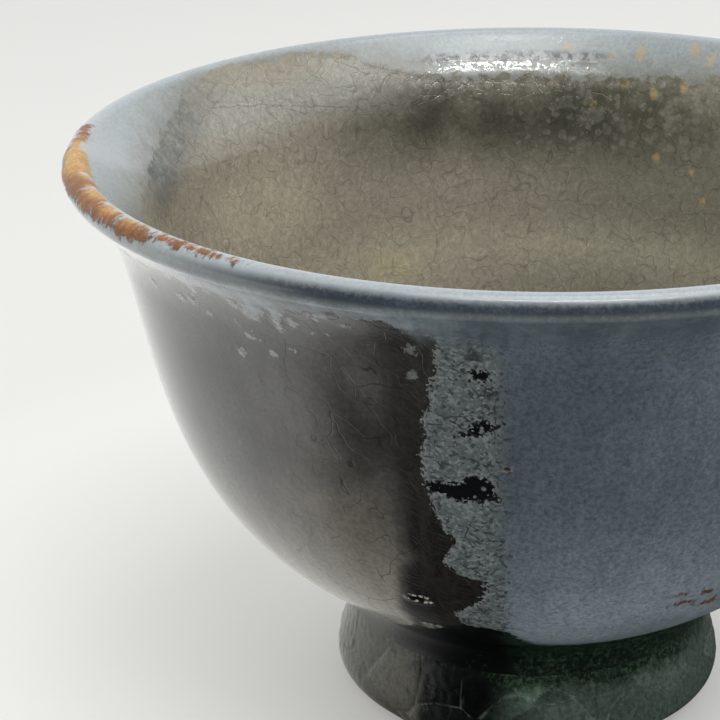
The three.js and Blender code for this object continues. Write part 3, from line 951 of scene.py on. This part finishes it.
def linerGroup():
    look = linerLook
    tree, _, outlet = newGroup("linerGlass", [], glazeOutputs)
    place = useGroup(tree, "cupPlace")
    drift = clouds(tree, place["Place"], 0.16, 5, 0.65)
    fineGrain = clouds(tree, place["Place"], 1.8, 4, 0.7)
    side = ramp(tree, sway(tree, painted(tree, "dip"), drift, 16.0), -18.0, 4.0)
    colour = tint(tree, side, look["tan"], look["olive"])
    # patches of other tones; the sandy one is partly painted light
    zones = {"shadow": 0.95, "honey": 0.75, "yellow": 0.5, "sandyAndLit": 0.9, "charcoal": 0.95, "haze": 0.7}
    for zone, share in zones.items():
        patch = times(tree, painted(tree, zone), ramp(tree, drift, 0.28, 0.62, 0.65, 1.0), share)
        colour = tint(tree, patch, colour, look[zone])
    colour = tint(tree, ramp(tree, place["Height"], 26.0, 15.0, 0.0, 0.85), colour, look["well"])
    colour, lines = linerCracks(tree, colour)
    colour = dim(tree, colour, ramp(tree, fineGrain, 0.28, 0.72, 0.86, 1.14))
    near = ramp(tree, painted(tree, "veil"), -4.5, 0.0, 0.05, 0.85)
    density = calc(tree, "MAXIMUM", near, times(tree, painted(tree, "frosty"), 0.84))
    petals = ramp(tree, clouds(tree, place["Place"], 1.6, 4, 0.75), 0.36, 0.62, 0.25, 1.0)
    for scale, share in ((0.7, 0.22), (1.15, 0.28)):
        drops = useGroup(tree, "frost", Density=density, Scale=scale)
        pale = calc(tree, "ADD", times(tree, drops["Mask"], share), times(tree, drops["Rim"], 0.12))
        colour = tint(tree, times(tree, pale, petals), colour, look["frost"])
    colour = gild(tree, colour, fineGrain)
    rough = ramp(tree, fineGrain, 0.3, 0.7, 0.12, 0.2)
    height = calc(tree, "SUBTRACT", times(tree, fineGrain, 0.3), times(tree, lines, 0.35))
    sendOut(tree, outlet, colour, rough, calc(tree, "ADD", height, times(tree, drops["Mask"], 0.4)))


# black-green glass that has run into the corner over the foot
poolLook = {
    "black": (7, 10, 10), "green": (13, 28, 20), "moss": (44, 68, 46), "brown": (82, 82, 74),
    "sparkle": (104, 112, 98),
}


def poolGroup():
    look = poolLook
    tree, _, outlet = newGroup("poolGlass", [], glazeOutputs)
    place = useGroup(tree, "cupPlace")["Place"]
    drift = clouds(tree, place, 0.3, 3)
    fineGrain = clouds(tree, place, 2.6, 4, 0.75)
    greener = ramp(tree, sway(tree, painted(tree, "dip"), drift, 5.0), -2.5, 2.0)
    mossy = tint(tree, ramp(tree, fineGrain, 0.45, 0.66), look["green"], look["moss"])
    browner = ramp(tree, sway(tree, painted(tree, "dip"), fineGrain, 7.0), -10.5, -15.0, 0.0, 0.85)
    colour = tint(tree, browner, tint(tree, greener, look["black"], mossy), look["brown"])
    glints = ramp(tree, fineGrain, 0.64, 0.74, 0.0, 0.6)
    colour = tint(tree, glints, colour, look["sparkle"])
    rough = blend(tree, greener, ramp(tree, drift, 0.3, 0.7, 0.1, 0.2), 0.3)
    sendOut(tree, outlet, colour, rough, times(tree, fineGrain, ramp(tree, greener, 0.0, 1.0, 0.6, 1.0)))


for makeGroup in (
        cupPlaceGroup, raggedGroup, crackleGroup, frostGroup, darkDipGroup, blueDipGroup, crustGroup,
        paleVeilGroup, linerGroup, poolGroup):
    makeGroup()
print("glaze effects ready")


def glazeMaterial(name, bumpDepth, makeLook):
    # a skin from a look: its colour, roughness and height, with the bump given in mm
    material = bpy.data.materials.new(name)
    material.use_nodes = True
    tree = material.node_tree
    inputs = tree.nodes["Principled BSDF"].inputs
    bump = addNode(tree, "Bump", {"Strength": 1.0, "Distance": bumpDepth * mm})
    tree.links.new(bump.outputs[0], inputs["Normal"])
    sendOut(tree, (inputs["Base Color"], inputs["Roughness"], bump.inputs["Height"]), *makeLook(tree))
    return material


def mixLooks(tree, mask, under, over):
    # lays one glaze's colour, roughness and height over another's
    colour = tint(tree, mask, under[0], over[0])
    return [colour] + [blend(tree, mask, a, b) for a, b in zip(under[1:], over[1:])]


def glazeLook(tree, name):
    outputs = useGroup(tree, name)
    return [outputs["Colour"], outputs["Roughness"], outputs["Height"]]


def layVeil(tree, under):
    veil = useGroup(tree, "paleVeil")
    return mixLooks(tree, veil["Mask"], under, [veil["Colour"], veil["Roughness"], veil["Height"]])


def layRun(tree, under, soft=0.3):
    mask = ragged(tree, painted(tree, "run"), 2.0, 1.3, soft)
    return mixLooks(tree, mask, under, glazeLook(tree, "poolGlass"))


def layGrains(tree, look, grainSpots):
    # pale grains and drips on the dark glass; a drip's paleness is partly painted highlight
    place = useGroup(tree, "cupPlace")["Place"]
    mottle = ramp(tree, clouds(tree, place, 2.4, 3, 0.7), 0.35, 0.6, 0.3, 0.95)
    for spot in grainSpots:
        mask = ragged(tree, ovalSpot(tree, place, *spot), spot[3] * 1.6, 2.6, 0.07)
        look[0] = tint(tree, times(tree, mask, mottle), look[0], crustLook["grainAndDripSheen"])
    return look


blisterLook = {"hole": (6, 6, 6), "rim": (196, 190, 178), "rimWidth": 0.22}
pitLook = {"hole": (64, 40, 32), "rim": (112, 116, 112), "rimWidth": 0.14}


def layHole(tree, look, distance, hole, chipped, soft):
    # a hole in the glaze with a chipped pale rim
    rim = times(tree, band(tree, distance, -hole["rimWidth"], 0.0, 0.05), chipped)
    look[0] = tint(tree, rim, look[0], hole["rim"])
    look[0] = tint(tree, ramp(tree, distance, 0.0, soft), look[0], hole["hole"])
    return look


def darkGlaze(tree):
    look = layGrains(tree, layRun(tree, glazeLook(tree, "darkDip")), glazeMap["drip"])
    place = useGroup(tree, "cupPlace")["Place"]
    blister = sway(tree, ovalSpot(tree, place, *glazeMap["blister"]), clouds(tree, place, 2.4, 3, 0.7), 0.5)
    chipped = ramp(tree, clouds(tree, place, 1.9, 3, 0.7), 0.45, 0.58)
    return layVeil(tree, layHole(tree, look, blister, blisterLook, chipped, 0.08))


def blueGlaze(tree):
    return layVeil(tree, layRun(tree, glazeLook(tree, "blueDip"), 1.0))


def overlapGlaze(tree):
    place = useGroup(tree, "cupPlace")["Place"]
    crystal = grains(tree, place, crustLook["crystalScale"])
    towardsBlue = sway(tree, calc(tree, "ADD", painted(tree, "dip"), 0.7), crystal, 1.4)
    onBlue = ragged(tree, towardsBlue, 1.4, 1.2, 0.35)
    onCrust = ragged(tree, sway(tree, painted(tree, "crust"), crystal, 0.6), 1.3, 2.6, 0.06)
    look = glazeLook(tree, "darkDip")
    look[0] = tint(tree, ragged(tree, painted(tree, "breaks"), 1.0, 2.6, 0.1), look[0], crustLook["break"])
    look = mixLooks(tree, onCrust, look, glazeLook(tree, "crustSkin"))
    look = mixLooks(tree, onBlue, look, glazeLook(tree, "blueDip"))
    pit = sway(tree, ovalSpot(tree, place, *glazeMap["pit"]), clouds(tree, place, 3.0, 3, 0.7), 0.3)
    look = layRun(tree, layHole(tree, look, pit, pitLook, crystal, 0.06))
    return layVeil(tree, layGrains(tree, look, glazeMap["inclusions"]))


def lipGlaze(tree):
    onBlue = ramp(tree, painted(tree, "dip"), -0.3, 0.3)
    outside = mixLooks(tree, onBlue, glazeLook(tree, "darkDip"), glazeLook(tree, "blueDip"))
    turnOver = ramp(tree, painted(tree, "along"), -0.3, 0.3)
    return layVeil(tree, mixLooks(tree, turnOver, glazeLook(tree, "linerGlass"), outside))


def innerGlaze(tree):
    return layVeil(tree, glazeLook(tree, "linerGlass"))


def poolGlaze(tree):
    return glazeLook(tree, "poolGlass")


# foot: dark glass in large plates with light edges, mossy green at the top of the blue half
footLook = {
    "brown": (98, 97, 86), "black": (14, 21, 19), "green": (104, 124, 112), "edge": (132, 146, 135),
    "top": (13, 28, 20), "moss": (46, 70, 46), "sparkle": (118, 124, 108), "edgeWidth": 0.09,
}


def footGlaze(tree):
    look = footLook
    place = useGroup(tree, "cupPlace")
    level = place["Height"]
    drift = clouds(tree, place["Place"], 0.45, 5, 0.65)
    fineGrain = clouds(tree, place["Place"], 2.2, 4, 0.75)
    dip = sway(tree, painted(tree, "dip"), drift, 3.0)
    colour = tint(tree, ramp(tree, dip, -10.5, -8.5), look["brown"], look["black"])
    colour = tint(tree, ramp(tree, dip, -3.5, 2.5), colour, look["green"])
    colour = dim(tree, colour, ramp(tree, painted(tree, "plateTone"), 0.0, 1.0, 0.5, 1.4))
    crown = ramp(tree, sway(tree, level, drift, 4.0), 5.2, 7.2)
    crown = times(tree, crown, ramp(tree, dip, -11.0, -7.0, 0.25, 1.0))
    mossy = tint(tree, ramp(tree, fineGrain, 0.44, 0.62), look["top"], look["moss"])
    mossy = tint(tree, ramp(tree, dip, -3.8, -1.2), look["black"], mossy)
    colour = tint(tree, times(tree, crown, 0.92), colour, mossy)
    edge = ramp(tree, painted(tree, "plateEdge"), 0.0, look["edgeWidth"], 1.0, 0.0)
    edge = times(tree, edge, ramp(tree, drift, 0.38, 0.62, 0.08, 0.6), calc(tree, "SUBTRACT", 1.0, crown))
    colour = tint(tree, edge, colour, look["edge"])
    colour = dim(tree, colour, ramp(tree, fineGrain, 0.28, 0.72, 0.62, 1.4))
    glints = times(tree, ramp(tree, fineGrain, 0.66, 0.76), ramp(tree, level, 3.5, 8.5, 0.15, 0.6))
    colour = tint(tree, glints, colour, look["sparkle"])
    return [colour, ramp(tree, fineGrain, 0.3, 0.7, 0.08, 0.2), fineGrain]


# bare stoneware, and the slip that joins bowl and foot
clayLook = {"clay": (112, 88, 70), "dark": (72, 54, 43), "sand": (150, 126, 104)}
slipLook = {"clay": (134, 112, 94), "dark": (98, 80, 66), "sand": (160, 140, 120)}


def bareClay(tree, look=clayLook):
    place = useGroup(tree, "cupPlace")["Place"]
    body = clouds(tree, place, 0.6, 5, 0.65)
    grog = clouds(tree, place, 2.6, 3, 0.7)
    colour = tint(tree, ramp(tree, body, 0.3, 0.7), look["dark"], look["clay"])
    colour = tint(tree, ramp(tree, grog, 0.6, 0.7, 0.0, 0.7), colour, look["sand"])
    return [colour, ramp(tree, grog, 0.3, 0.7, 0.75, 0.92), grog]


def joiningSlip(tree):
    return bareClay(tree, slipLook)


# bump in mm and look of each finish
skins = {
    "clay": (0.12, bareClay), "slip": (0.12, joiningSlip), "inner_glaze": (0.03, innerGlaze),
    "lip_glaze": (0.03, lipGlaze), "dark_glaze": (0.03, darkGlaze), "blue_glaze": (0.03, blueGlaze),
    "overlap_glaze": (0.04, overlapGlaze), "pool_glaze": (0.04, poolGlaze), "foot_glaze": (0.05, footGlaze),
}
finishes = {slot: glazeMaterial(look.__name__, depth, look) for slot, (depth, look) in skins.items()}
# each piece with the node that it stands for and its finish
stands = {
    "clayBowl": ("bowl_body", "clay"), "clayFoot": ("foot_ring", "clay"),
    "lutingSlip": ("luting_slip", "slip"),
    "linerGlaze": ("inner_glaze", "inner_glaze"), "lipGlaze": ("lip_glaze", "lip_glaze"),
    "darkDip": ("dark_glaze", "dark_glaze"), "blueDip": ("blue_glaze", "blue_glaze"),
    "frontOverlap": ("overlap_glaze_front", "overlap_glaze"),
    "rearOverlap": ("overlap_glaze_rear", "overlap_glaze"),
    "glazePool": ("corner_glaze_pool", "pool_glaze"), "footGlaze": ("foot_glaze", "foot_glaze"),
}
for name, (node, slot) in stands.items():
    pieces[name].data.materials.append(finishes[slot])
    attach(pieces[name], "root")
    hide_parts(node)
print("pieces glazed")

# colours, lengths in m, and strengths of floor, backdrop and lamps
studio = {
    "floor": (224, 224, 221), "flag": (16, 17, 18), "flagTurn": 40.0, "flagFrom": -0.014, "flagFull": 0.012,
    "front": 0.56, "back": 0.74, "mirrorFront": 0.02, "mirrorBack": 1.1, "backdrop": 0.84,
    "fill": 0.25, "fillFrom": 0.03, "fillTo": 0.09, "mirrorFill": 0.45, "floorHalf": 3, "floorRough": 0.7,
    "keyPlace": (0.15, -0.1, 0.8), "keyAim": (0, 0, 0.03), "keySize": 0.6, "keyPower": 3.3,
    "stripPlace": (0.035, -0.215, 0.59), "stripAim": (0, 0, 0.05), "stripSize": (0.36, 0.008),
    "stripPower": 0.6, "glow": (255, 255, 252), "plainSpan": (-0.9, 0.5), "mirrorSpan": (-0.5, 0.4),
}


def buildFloor():
    s = studio
    shape = bmesh.new()
    bmesh.ops.create_grid(shape, x_segments=1, y_segments=1, size=s["floorHalf"])
    mesh = bpy.data.meshes.new("floor")
    shape.to_mesh(mesh)
    shape.free()
    floor = bpy.data.objects.new("floor", mesh)
    bpy.context.scene.collection.objects.link(floor)
    material = bpy.data.materials.new("paleFloor")
    material.use_nodes = True
    tree = material.node_tree
    shader = tree.nodes["Principled BSDF"]
    # in the gloss of the glazes the floor is dark in front, as if flagged off with a black card
    x, y, _ = addNode(tree, "SeparateXYZ", {0: addNode(tree, "TexCoord").outputs["Object"]}).outputs
    turn = math.radians(s["flagTurn"])
    ahead = calc(tree, "SUBTRACT", times(tree, x, math.sin(turn)), times(tree, y, math.cos(turn)))
    flagged = ramp(tree, ahead, s["flagFrom"], s["flagFull"])
    paths = addNode(tree, "LightPath").outputs
    dark = times(tree, flagged, paths["Is Glossy Ray"])
    feed(tree, shader.inputs["Base Color"], tint(tree, dark, s["floor"], s["flag"]))
    # a little light of its own lifts the contact shadow for the camera
    reach = calc(tree, "SQRT", calc(tree, "ADD", times(tree, x, x), times(tree, y, y)))
    fill = times(tree, ramp(tree, reach, s["fillFrom"], s["fillTo"], s["fill"], 0.0), paths["Is Camera Ray"])
    mirrored = ramp(tree, flagged, 0.0, 1.0, s["mirrorFill"], 0.0)
    fill = calc(tree, "ADD", fill, times(tree, mirrored, paths["Is Glossy Ray"]))
    feed(tree, shader.inputs["Emission Color"], s["glow"])
    feed(tree, shader.inputs["Emission Strength"], fill)
    shader.inputs["Roughness"].default_value = s["floorRough"]
    floor.data.materials.append(material)


def softbox(name, place, target, width, height, power):
    data = bpy.data.lights.new(name, "AREA")
    data.shape = "RECTANGLE"
    data.size = width
    data.size_y = height
    data.energy = power
    lamp = bpy.data.objects.new(name, data)
    lamp.location = place
    lamp.rotation_euler = (Vector(target) - Vector(place)).to_track_quat("-Z", "Y").to_euler()
    bpy.context.scene.collection.objects.link(lamp)


def buildLight():
    s = studio
    softbox("keyBox", s["keyPlace"], s["keyAim"], s["keySize"], s["keySize"], s["keyPower"])
    softbox("stripLamp", s["stripPlace"], s["stripAim"], *s["stripSize"], s["stripPower"])
    world = bpy.data.worlds.new("studio")
    world.use_nodes = True
    tree = world.node_tree
    ahead = addNode(tree, "SeparateXYZ", {0: addNode(tree, "TexCoord").outputs["Generated"]}).outputs["Y"]
    paths = addNode(tree, "LightPath").outputs
    plain = ramp(tree, ahead, *s["plainSpan"], s["front"], s["back"])
    mirrored = ramp(tree, ahead, *s["mirrorSpan"], s["mirrorFront"], s["mirrorBack"])
    strength = blend(tree, paths["Is Glossy Ray"], plain, mirrored)
    strength = blend(tree, paths["Is Camera Ray"], strength, s["backdrop"])
    feed(tree, tree.nodes["Background"].inputs["Strength"], strength)
    tree.nodes["Background"].inputs["Color"].default_value = (1, 1, 1, 1)
    bpy.context.scene.world = world


buildFloor()
buildLight()
bpy.context.scene.view_settings.view_transform = "Standard"
print("floor and light ready")
